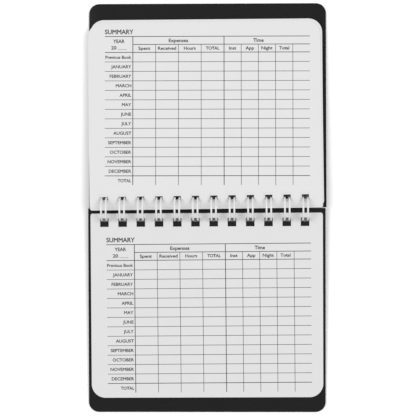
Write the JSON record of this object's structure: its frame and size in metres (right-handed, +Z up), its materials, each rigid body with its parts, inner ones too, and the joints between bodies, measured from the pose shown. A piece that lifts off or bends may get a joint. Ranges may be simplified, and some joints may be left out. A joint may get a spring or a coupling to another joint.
{
  "type": "pilot logbook",
  "caption": "Open pocket logbook: black covers with rounded corners and ruled summary leaves that turn on a row of twin wire loops.",
  "frame": {"origin": "on the table under the middle of the row of wire loops", "axes": "+X along the binding, +Y over the front-cover half, +Z up from the table"},
  "size_m": [0.1107, 0.1904, 0.0111],
  "materials": {
    "wire": "white nylon-coated wire, satin",
    "cover": "black board with a fine leather grain, matte",
    "paper": "white writing paper, matte"
  },
  "bodies": {
    "binding": {"binding_wire": "wire"},
    "front_cover": {"front_cover": "cover"},
    "front_leaves_a": {"leaf_01": "paper", "leaf_02": "paper", "leaf_03": "paper", "leaf_04": "paper", "leaf_05": "paper", "leaf_06": "paper", "leaf_07": "paper", "leaf_08": "paper"},
    "front_leaves_b": {"leaf_09": "paper", "leaf_10": "paper", "leaf_11": "paper", "leaf_12": "paper", "leaf_13": "paper", "leaf_14": "paper", "leaf_15": "paper", "leaf_16": "paper"},
    "front_leaves_c": {"leaf_17": "paper", "leaf_18": "paper", "leaf_19": "paper", "leaf_20": "paper", "leaf_21": "paper", "leaf_22": "paper", "leaf_23": "paper", "leaf_24": "paper"},
    "front_leaves_d": {"leaf_25": "paper", "leaf_26": "paper", "leaf_27": "paper", "leaf_28": "paper", "leaf_29": "paper", "leaf_30": "paper"},
    "front_leaf_2": {"leaf_31": "paper"},
    "front_leaf_1": {"leaf_32": "paper"},
    "back_cover": {"back_cover": "cover"},
    "back_leaves_a": {"leaf_35": "paper", "leaf_36": "paper", "leaf_37": "paper", "leaf_38": "paper"},
    "back_leaf_2": {"leaf_34": "paper"},
    "back_leaf_1": {"leaf_33": "paper"}
  },
  "joints": [
    {"name": "front_cover_turn", "type": "hinge", "parent": "binding", "child": "front_cover", "pos_m": [0, 0, 0.00558], "axis": [1, 0, 0], "range_deg": [0, 180]},
    {"name": "front_leaves_a_turn", "type": "hinge", "parent": "front_cover", "child": "front_leaves_a", "pos_m": [0, 0, 0.00558], "axis": [1, 0, 0], "range_deg": [0, 180]},
    {"name": "front_leaves_b_turn", "type": "hinge", "parent": "front_leaves_a", "child": "front_leaves_b", "pos_m": [0, 0, 0.00558], "axis": [1, 0, 0], "range_deg": [0, 180]},
    {"name": "front_leaves_c_turn", "type": "hinge", "parent": "front_leaves_b", "child": "front_leaves_c", "pos_m": [0, 0, 0.00558], "axis": [1, 0, 0], "range_deg": [0, 180]},
    {"name": "front_leaves_d_turn", "type": "hinge", "parent": "front_leaves_c", "child": "front_leaves_d", "pos_m": [0, 0, 0.00558], "axis": [1, 0, 0], "range_deg": [0, 180]},
    {"name": "front_leaf_2_turn", "type": "hinge", "parent": "front_leaves_d", "child": "front_leaf_2", "pos_m": [0, 0, 0.00558], "axis": [1, 0, 0], "range_deg": [0, 180]},
    {"name": "front_leaf_1_turn", "type": "hinge", "parent": "front_leaf_2", "child": "front_leaf_1", "pos_m": [0, 0, 0.00558], "axis": [1, 0, 0], "range_deg": [0, 180]},
    {"name": "back_cover_turn", "type": "hinge", "parent": "binding", "child": "back_cover", "pos_m": [0, 0, 0.00558], "axis": [-1, 0, 0], "range_deg": [0, 180]},
    {"name": "back_leaves_a_turn", "type": "hinge", "parent": "back_cover", "child": "back_leaves_a", "pos_m": [0, 0, 0.00558], "axis": [-1, 0, 0], "range_deg": [0, 180]},
    {"name": "back_leaf_2_turn", "type": "hinge", "parent": "back_leaves_a", "child": "back_leaf_2", "pos_m": [0, 0, 0.00558], "axis": [-1, 0, 0], "range_deg": [0, 180]},
    {"name": "back_leaf_1_turn", "type": "hinge", "parent": "back_leaf_2", "child": "back_leaf_1", "pos_m": [0, 0, 0.00558], "axis": [-1, 0, 0], "range_deg": [0, 180]}
  ]
}
